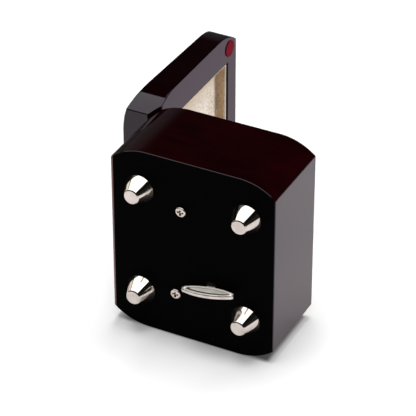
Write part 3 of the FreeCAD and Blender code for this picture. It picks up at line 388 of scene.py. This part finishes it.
def dress(name, rings, ends_meet, axes, finish, body, slot, *replaced):
    """A closed skin through rings of points, each joined to the next; its ends meet, or each ends at a pole.

    rings has shape (rings, points, 3) in local metres and axes carries it into the frame.
    """
    count, around, _ = rings.shape
    points = rings.reshape(-1, 3)
    if not ends_meet:
        points = np.vstack([points, rings[0].mean(0), rings[-1].mean(0)])
    row = np.arange(count if ends_meet else count - 1)[:, None]
    column = np.arange(around)[None, :]
    after = (column + 1) % around
    lower = row * around
    upper = (row + 1) % count * around
    quads = np.stack([lower + column, lower + after, upper + after, upper + column], axis=-1).reshape(-1, 4)
    faces = quads.tolist()
    if not ends_meet:
        turn = np.arange(around)
        following = (turn + 1) % around
        first = np.full(around, count * around)
        last = (count - 1) * around
        faces += np.stack([first, following, turn], axis=1).tolist()
        faces += np.stack([first + 1, last + turn, last + following], axis=1).tolist()
    mesh = bpy.data.meshes.new(name)
    mesh.from_pydata((points @ axes[0].T + axes[1]).tolist(), [], faces)
    mesh.shade_smooth()
    mesh.materials.append(finish)
    piece = bpy.data.objects.new(name, mesh)
    bpy.context.scene.collection.objects.link(piece)
    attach(piece, body)
    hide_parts(*replaced)


def velvet_finish(name, letter, mouth, floor_level, middle, reach):
    """Short pile: bright and shaded tufts at two sizes, brushed into soft patches, over a pale ground.

    Along one axis it knows the levels of mouth and floor: between them, on the sides, the pile is painted
    darker as painted shade. On the floor painted shade, broken up by the brushed patches, darkens it near
    the sides and leaves it bright towards the middle.
    """
    flat_dull, flat_bright = (0.58, 0.475, 0.365), (0.98, 0.935, 0.875)
    # The sides' colours: the same pile in painted shade.
    shaded_side_dull, shaded_side_bright = (0.42, 0.285, 0.17), (0.70, 0.53, 0.36)
    finish, paint = new_finish(name)
    tuft = paint.noise(2600.0, 2.0, 0.7)
    clump = paint.noise(900.0, 3.0, 0.6)
    brushed = paint.noise(70.0, 3.0, 0.5)
    local = paint.about(middle)
    first, second = [(local.axis(axis) / half) ** 2 for axis, half in zip("XYZ".replace(letter, ""), reach)]
    uneven = (brushed - 0.5) * 0.7
    # Painted shade near the sides of the floor, broken up by the brushed patches.
    clear_of_side_shade = (1 - (first + uneven).step(0.1, 0.72)) * (1 - second.step(0.85, 1.1))
    pile = (tuft * 0.45 + clump * 0.35 + brushed * 0.2).step(0.38, 0.60)
    depth = (paint.place().axis(letter) - mouth) / (floor_level - mouth)
    # The sides between mouth and floor take the painted shade.
    wall = depth.step(0.1, 0.22) * (1 - depth.step(0.88, 0.96))
    flat = (pile * (0.12 + 0.88 * clear_of_side_shade)).blend(flat_dull, flat_bright)
    shaded_sides = pile.blend(shaded_side_dull, shaded_side_bright)
    paint.surface(paint.shader({
        "Base Color": wall.blend(flat, shaded_sides),
        "Roughness": 0.85 + 0.1 * brushed,
        "Normal": paint.bump(tuft * 0.5 + clump * 0.5, 0.8, 0.0004),
        "Sheen Weight": 0.15,
        "Sheen Roughness": 0.4,
        "Specular IOR Level": 0.05,
    }))
    return finish


lip_round = 0.0006
fold_round = 0.0002
corner_round = 0.0016
least_round = 0.0006
floor_crown = 0.00012
pole_radius = 0.00002
floor_rings = 28
back_rings = 6


def lined_insert(name, node, body, axes, half_a, half_b, depth, board, floor, velvet, hole=None):
    """A lined open box from a profile of (inset, depth) carried round a rounded rectangle.

    The profile goes up the outside, over the round lip, down the inside and round the fold at the floor,
    which then draws in to its middle, or to a hole of (place, radius).
    """
    top = depth - floor
    profile = np.vstack([
        arc((fold_round, depth - fold_round), fold_round, 90, 180),
        arc((lip_round, lip_round), lip_round, 180, 270),
        arc((board - lip_round, lip_round), lip_round, 270, 360),
        arc((board + fold_round, top - fold_round), fold_round, 180, 90),
    ])
    rings = []
    for inset, level in profile:
        plan = round_rectangle(half_a - inset, half_b - inset, max(corner_round - inset, least_round))
        rings.append(np.column_stack([plan, np.full(ring_points, level)]))
    outside, inside = rings[0][:, :2], rings[-1][:, :2]
    middle, radius = hole or (np.zeros(2), pole_radius)

    def drawn_in(edge, share, level):
        """The plan shrunk from its edge by a share of the way to the hole's rim, at a level."""
        out = edge - middle
        rim = middle + radius * out / np.linalg.norm(out, axis=1)[:, None]
        plan = rim + (edge - rim) * share
        return np.column_stack([plan, np.full(ring_points, level)])

    shares = np.linspace(1, 0, floor_rings)[1:]
    rings += [drawn_in(inside, share, top - floor_crown * math.sin(math.pi * share)) for share in shares]
    below = [drawn_in(outside, share, depth) for share in np.linspace(0, 1, back_rings)[:-1]]
    dress(name, np.array(below + rings), hole is not None, axes, velvet, body, "velvet", node)


def facing(low, high, mouth):
    """The matrix and origin that carry local (a, b, depth) into the frame, with depth from the mouth."""
    middle = (np.array(low) + np.array(high)) / 2
    if mouth == "up":
        return np.array([[1, 0, 0], [0, 1, 0], [0, 0, -1.0]]), np.array([middle[0], middle[1], high[2]])
    return np.array([[1, 0, 0], [0, 0, 1], [0, 1.0, 0]]), np.array([middle[0], low[1], middle[2]])


board = 0.0012
tray_floor = 0.0015
tray_low, tray_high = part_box("tray")
plunger_low, plunger_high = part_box("stop_plunger")
plunger_spot = (np.array(plunger_low) + np.array(plunger_high))[:2] / 2
plunger_room = 0.0009
tray_axes = facing(tray_low, tray_high, "up")
tray_half = (np.array(tray_high) - np.array(tray_low)) / 2
tray_velvet = velvet_finish("velvet_tray", "Z", tray_high.z, tray_low.z + tray_floor,
                            (tray_low + tray_high) / 2, (tray_half[0] - board, tray_half[1] - board))
lined_insert("tray_lining", "tray", "case", tray_axes, tray_half[0], tray_half[1], 2 * tray_half[2], board,
             tray_floor, tray_velvet, (plunger_spot - tray_axes[1][:2], plunger_room))


# Lid lining
# The same velvet on a shallow tray let into the lid, a little short of the rim, with an open
# joint along its front and back.
liner_low, liner_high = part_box("lid_liner")
liner_half = (np.array(liner_high) - np.array(liner_low)) / 2
lid_velvet = velvet_finish("velvet_lid", "Y", liner_low.y, liner_high.y - board,
                           (liner_low + liner_high) / 2, (liner_half[0] - board, liner_half[2] - board))
lined_insert("lid_lining", "lid_liner", "lid", facing(liner_low, liner_high, "front"), liner_half[0],
             liner_half[2], 2 * liner_half[1], board, board, lid_velvet)


# Felt dots and stop felt
# Discs punched from dark red pressed felt: two let into the front corners of the lid's rim to
# soften its closing, and a small one under the stop plunger that brakes the fly.
disc_points = 96
felt, paint = new_finish("felt_red")
fibre = paint.noise(1800.0, 4.0, 0.7)
clump = paint.noise(420.0, 3.0)
tangle = (fibre * 0.6 + clump * 0.4).step(0.36, 0.64)
paint.surface(paint.shader({
    "Base Color": tangle.blend((0.105, 0.003, 0.010), (0.215, 0.008, 0.020)),
    "Roughness": 0.86 + 0.1 * clump,
    "Normal": paint.bump(fibre, 0.6, 0.0002),
    "Sheen Weight": 0.03,
    "Specular IOR Level": 0.03,
}))


def felt_disc(name, node, body, axes, radius, thickness):
    """A disc turned from a profile: a flat back, a side and a softly rounded, slightly domed face."""
    soft = 0.3 * thickness
    dome = 0.06 * thickness
    shares = np.linspace(1, 0.05, 10)
    face = np.column_stack([(radius - soft) * shares, dome * shares**2])
    back = np.column_stack([radius * shares[::-1], np.full(shares.size, thickness)])
    side = arc((radius - soft, soft), soft, 0, -90)
    profile = np.vstack([back, side, face])
    angle = np.linspace(0, 2 * np.pi, disc_points, endpoint=False)
    rings = np.stack([np.column_stack([r * np.cos(angle), r * np.sin(angle), np.full(disc_points, level)])
                      for r, level in profile])
    dress(name, rings, False, axes, felt, body, "felt", node)


for side in ("left", "right"):
    node = "lid_bumper_" + side
    low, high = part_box(node)
    dot_radius = (high.x - low.x) / 2
    felt_disc("felt_dot_" + side, node, "lid", facing(low, high, "front"), dot_radius, high.y - low.y)
low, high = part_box("stop_felt")
brake_radius = (high.x - low.x) / 2
felt_disc("felt_brake", "stop_felt", "stop", facing(low, high, "up"), brake_radius, high.z - low.z)


# Hinges and stop plunger
# Small brass butt hinges let flush into the rims with countersunk screws, and a steel rod that
# the closing lid presses down to stop the movement.
brass, paint = new_finish("brass_hinge")
tarnish = paint.noise(240.0, 4.0, 0.6)
brushing = paint.noise(1.0, 3.0, 0.5, paint.stretched((90, 4200, 4200)))
paint.surface(paint.shader({
    "Base Color": tarnish.step(0.35, 0.68).blend((0.53, 0.36, 0.12), (0.83, 0.63, 0.29)),
    "Metallic": 1.0,
    "Roughness": 0.2 + 0.16 * tarnish,
    "Normal": paint.bump(brushing, 0.12, 0.00003),
}))
wear(brass, "hinge_body_leaf_left", "hinge_body_leaf_right", "hinge_lid_leaf_left", "hinge_lid_leaf_right",
     "hinge_pins", "hinge_body_screws", "hinge_lid_screws")
plunger, paint = new_finish("plunger_steel")
turning = paint.noise(1.0, 3.0, 0.5, paint.stretched((60, 60, 8000)))
paint.surface(paint.shader({
    "Base Color": turning.step(0.3, 0.7).blend((0.50, 0.50, 0.50), (0.70, 0.70, 0.69)),
    "Metallic": 1.0,
    "Roughness": 0.14 + 0.12 * turning,
    "Normal": paint.bump(turning, 0.1, 0.00003),
}))
wear(plunger, "stop_plunger")


# Paper floor
# The box lies on its right end in the photograph, so a wide sheet of pale paper stands at that
# end, and only its near face shows. It glows away from the box, is shaded under it, and is tinted
# and faded far behind where the lacquer and the nickel mirror it.
floor_gap = 0.0002
floor_half = 1.5
away_y, away_z = 0.63, 0.78
tint_start, tint_end = 0.05, 0.12
fade_start, fade_end = 0.26, 0.32
glow_middle = (-0.0125, 0.039)
glow_squeeze = 3.5
glow_start, glow_end = 0.083, 0.154
shade_start = 0.0009
unlit = (0.03, 0.03, 0.03)
lilac_paper = (0.54, 0.465, 0.525)
lilac_glow = (0.26, 0.23, 0.255)
floor_x = cad_high.x + floor_gap
front_low, front_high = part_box("front_wall")
back_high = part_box("back_wall")[1]
corners = [(floor_x, y * floor_half, z * floor_half) for y, z in ((-1, -1), (-1, 1), (1, 1), (1, -1))]
floor_mesh = bpy.data.meshes.new("floor")
floor_mesh.from_pydata(corners, [], [(0, 1, 2, 3)])
floor = bpy.data.objects.new("floor", floor_mesh)
bpy.context.scene.collection.objects.link(floor)


def ray_is(paint, kind):
    """1 on rays of one kind."""
    return paint.add("ShaderNodeLightPath", {}, {}, out=f"Is {kind} Ray")


def mirrored_rays(paint):
    """1 on rays from glossy surfaces and through clear ones."""
    return ray_is(paint, "Glossy") + ray_is(paint, "Transmission")


def shade_under(spot, deepest, ahead, inward, from_front, from_back):
    """How much the box shades the paper: the deepest, times a soft step at each side of its end."""
    level, side = spot.axis("Z"), spot.axis("Y")
    shade = deepest * level.step(foot_level - ahead, foot_level + inward)
    shade = shade * (1 - level.step(front_high.z - inward, front_high.z))
    shade = shade * side.step(front_low.y + shade_start, front_low.y + from_front)
    return shade * (1 - side.step(back_high.y - from_back, back_high.y))


floor_white, paint = new_finish("floor_white")
hidden = paint.add("ShaderNodeNewGeometry", {}, {}, out="Backfacing")
seen = ray_is(paint, "Camera")
spot = paint.place()
soft_shade = shade_under(spot, 0.40, ahead=0.0150, inward=0.0085, from_front=0.0115, from_back=0.0032)
deep_shade = shade_under(spot, 0.915, ahead=0.0009, inward=0.0027, from_front=0.0045, from_back=0.0085)
behind = spot.axis("Y") * away_y + spot.axis("Z") * away_z
faded = behind.step(fade_start, fade_end) * (1 - seen)
lilac = behind.step(tint_start, tint_end) * (1 - seen)
lit = (1 - faded) * (1 - soft_shade) * (1 - deep_shade)
nearby = paint.about((floor_x, *glow_middle))
squeezed = nearby.axis("Y") * (1 + glow_squeeze * seen)
distance = (squeezed ** 2 + nearby.axis("Z") ** 2) ** 0.5
near = seen.blend((0.245, 0.234, 0.244), (0.315, 0.315, 0.315))
far = seen.blend((0.340, 0.325, 0.336), (0.405, 0.405, 0.405))
white = seen.blend((0.70, 0.67, 0.695), (0.72, 0.715, 0.72))
glow = distance.step(glow_start, glow_end).blend(near, far)
paper = paint.shader({
    "Base Color": lit.blend(unlit, lilac.blend(white, lilac_paper)),
    "Roughness": 0.9,
    "Specular IOR Level": 0.0,
    "Emission Color": lit.blend(unlit, lilac.blend(glow, lilac_glow)),
    "Emission Strength": 1.0,
})
clear = paint.add("ShaderNodeBsdfTransparent", {}, {})
shown = (seen + mirrored_rays(paint)) * (1 - hidden)
paint.surface(paint.add("ShaderNodeMixShader", {}, {0: shown, 1: clear, 2: paper}))
floor_mesh.materials.append(floor_white)


# Studio and lamps
# A dark room, white only below the level of the paper. Mirrors see a wide softbox above and a
# warm card behind, and the soft light and shadow come from two more lamps.
wall_dark = (0.006, 0.006, 0.006)
wall_lit = (0.07, 0.07, 0.07)
paper_white = (0.9, 0.89, 0.9)
pure_white = (1, 1, 1)
card_cream = (1.0, 0.94, 0.80)
lamp_warm = (1.0, 0.99, 0.975)
world = bpy.data.worlds.new("studio")
bpy.context.scene.world = world
world.use_nodes = True
world.node_tree.nodes.clear()
paint = Paint(world.node_tree)
outward = paint.add("ShaderNodeTexCoord", {}, {}, out="Generated")
downward = outward.axis("X")
lit_side = 0.2 + 0.8 * outward.axis("Y").step(-0.5, 0.1)
walls = (downward.step(-0.55, -0.30) * lit_side).blend(wall_dark, wall_lit)
beyond = (outward.axis("Y") * away_y + outward.axis("Z") * away_z).step(0.3, 0.6)
mirrored = mirrored_rays(paint)
below = downward.step(-0.03, 0.03) * (1 - mirrored * beyond)
studio = below.blend(walls, paper_white)
shown = ray_is(paint, "Camera") + mirrored * below
sky = paint.add("ShaderNodeBackground", {}, {"Color": shown.blend(studio, pure_white)})
paint.surface(sky, "ShaderNodeOutputWorld")


def softbox(name, place, target, width, height, watts, colour, in_mirrors):
    """A lamp of width by height at a place, turned to face a target. It shows in mirrors or lights."""
    lamp = bpy.data.lights.new(name, "AREA")
    lamp.shape = "RECTANGLE"
    lamp.size = width
    lamp.size_y = height
    lamp.energy = watts
    lamp.color = colour
    holder = bpy.data.objects.new(name, lamp)
    holder.location = place
    holder.rotation_euler = (Vector(target) - Vector(place)).to_track_quat("-Z", "Y").to_euler()
    holder.visible_camera = False
    holder.visible_diffuse = not in_mirrors
    holder.visible_glossy = in_mirrors
    bpy.context.scene.collection.objects.link(holder)


softbox("softbox_over", (-0.85, 0.42, -0.15), (0, 0.42, -0.15), width=2.16, height=0.90, watts=12.0,
        colour=pure_white, in_mirrors=True)
softbox("card_back", (-0.19, 1.0, 0.25), (-0.19, 0, 0.25), width=0.46, height=0.5, watts=0.7,
        colour=card_cream, in_mirrors=True)
softbox("lamp_over", (-0.85, 0.03, 0.05), (0, 0.03, 0.05), width=0.30, height=0.60, watts=8.2,
        colour=pure_white, in_mirrors=False)
softbox("lamp_front", (-0.10, -0.90, 0.40), (0, 0, 0.08), width=0.4, height=0.4, watts=6.4,
        colour=lamp_warm, in_mirrors=False)


# Camera
# A long lens below the box and to its front, with the left end upward, as the photograph was
# taken.
photo_up = Vector((-1, 0, 0))
camera_place = Vector((-0.59695, -0.40254, -0.75572))
camera_target = Vector((-0.04281, -0.02591, -0.01338))
forward = (camera_target - camera_place).normalized()
right = forward.cross(photo_up).normalized()
lens = bpy.data.cameras.new("camera")
lens.sensor_width = 36.0
lens.lens = 205.8
lens.clip_start = 0.01
camera = bpy.data.objects.new("camera", lens)
camera.matrix_world = Matrix((right, right.cross(forward), -forward)).transposed().to_4x4()
camera.location = camera_place
bpy.context.scene.collection.objects.link(camera)
bpy.context.scene.camera = camera
bpy.context.scene.view_settings.view_transform = "Standard"
